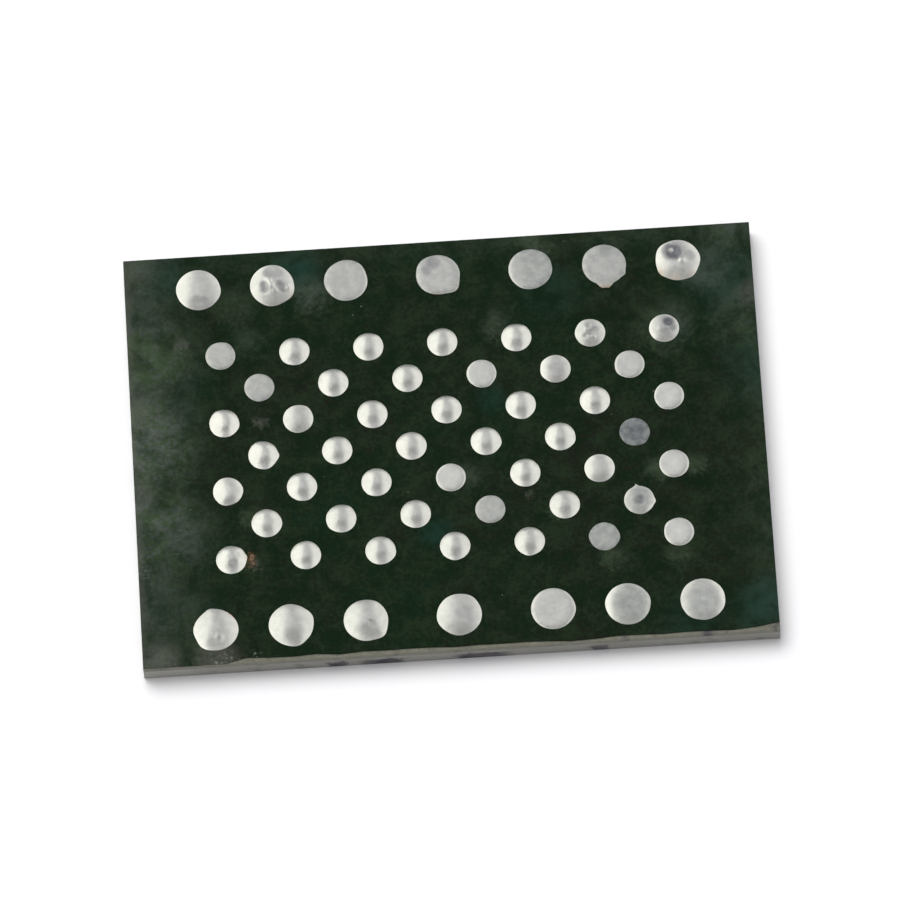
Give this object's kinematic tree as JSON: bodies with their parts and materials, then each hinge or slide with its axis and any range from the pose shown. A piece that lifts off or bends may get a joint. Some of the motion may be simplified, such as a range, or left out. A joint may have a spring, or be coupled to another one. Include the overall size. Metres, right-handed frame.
{
  "type": "nand flash chip",
  "caption": "Thin moulded memory package with rows of round solder-coated lands on its green underside, shown lands up.",
  "frame": {"origin": "centre of the mould's outer face, the face that the chip lies on", "axes": "+X along the longer side, +Y along the shorter side, +Z out of the land side"},
  "size_m": [0.017, 0.012, 0.0009],
  "materials": {
    "mould_compound": "fine matt, sawn on the four sides",
    "solder_mask": "dark green, satin, hazy in places",
    "laminate": "sawn glass-fibre laminate, olive beige",
    "copper": "plated copper",
    "silicon": "ground and polished",
    "adhesive_film": "thin cured film",
    "gold_wire": "drawn wire",
    "solder": "satin tin, from bright domes to dull flats"
  },
  "bodies": {
    "root": {"mould_cap": "mould_compound", "die_side_solder_mask": "solder_mask", "substrate_core": "laminate", "land_side_solder_mask": "solder_mask", "die_side_copper": "copper", "vias": "copper", "nand_die_1": "silicon", "die_attach_film_1": "adhesive_film", "bond_wires_1": "gold_wire", "nand_die_2": "silicon", "die_attach_film_2": "adhesive_film", "bond_wires_2": "gold_wire", "nand_die_3": "silicon", "die_attach_film_3": "adhesive_film", "bond_wires_3": "gold_wire", "nand_die_4": "silicon", "die_attach_film_4": "adhesive_film", "bond_wires_4": "gold_wire", "lands_row_1": "copper", "solder_row_1": "solder", "lands_row_2": "copper", "solder_row_2": "solder", "lands_row_3": "copper", "solder_row_3": "solder", "lands_row_4": "copper", "solder_row_4": "solder", "lands_row_5": "copper", "solder_row_5": "solder", "lands_row_6": "copper", "solder_row_6": "solder", "lands_row_7": "copper", "solder_row_7": "solder", "lands_row_8": "copper", "solder_row_8": "solder", "lands_row_9": "copper", "solder_row_9": "solder"}
  },
  "joints": []
}
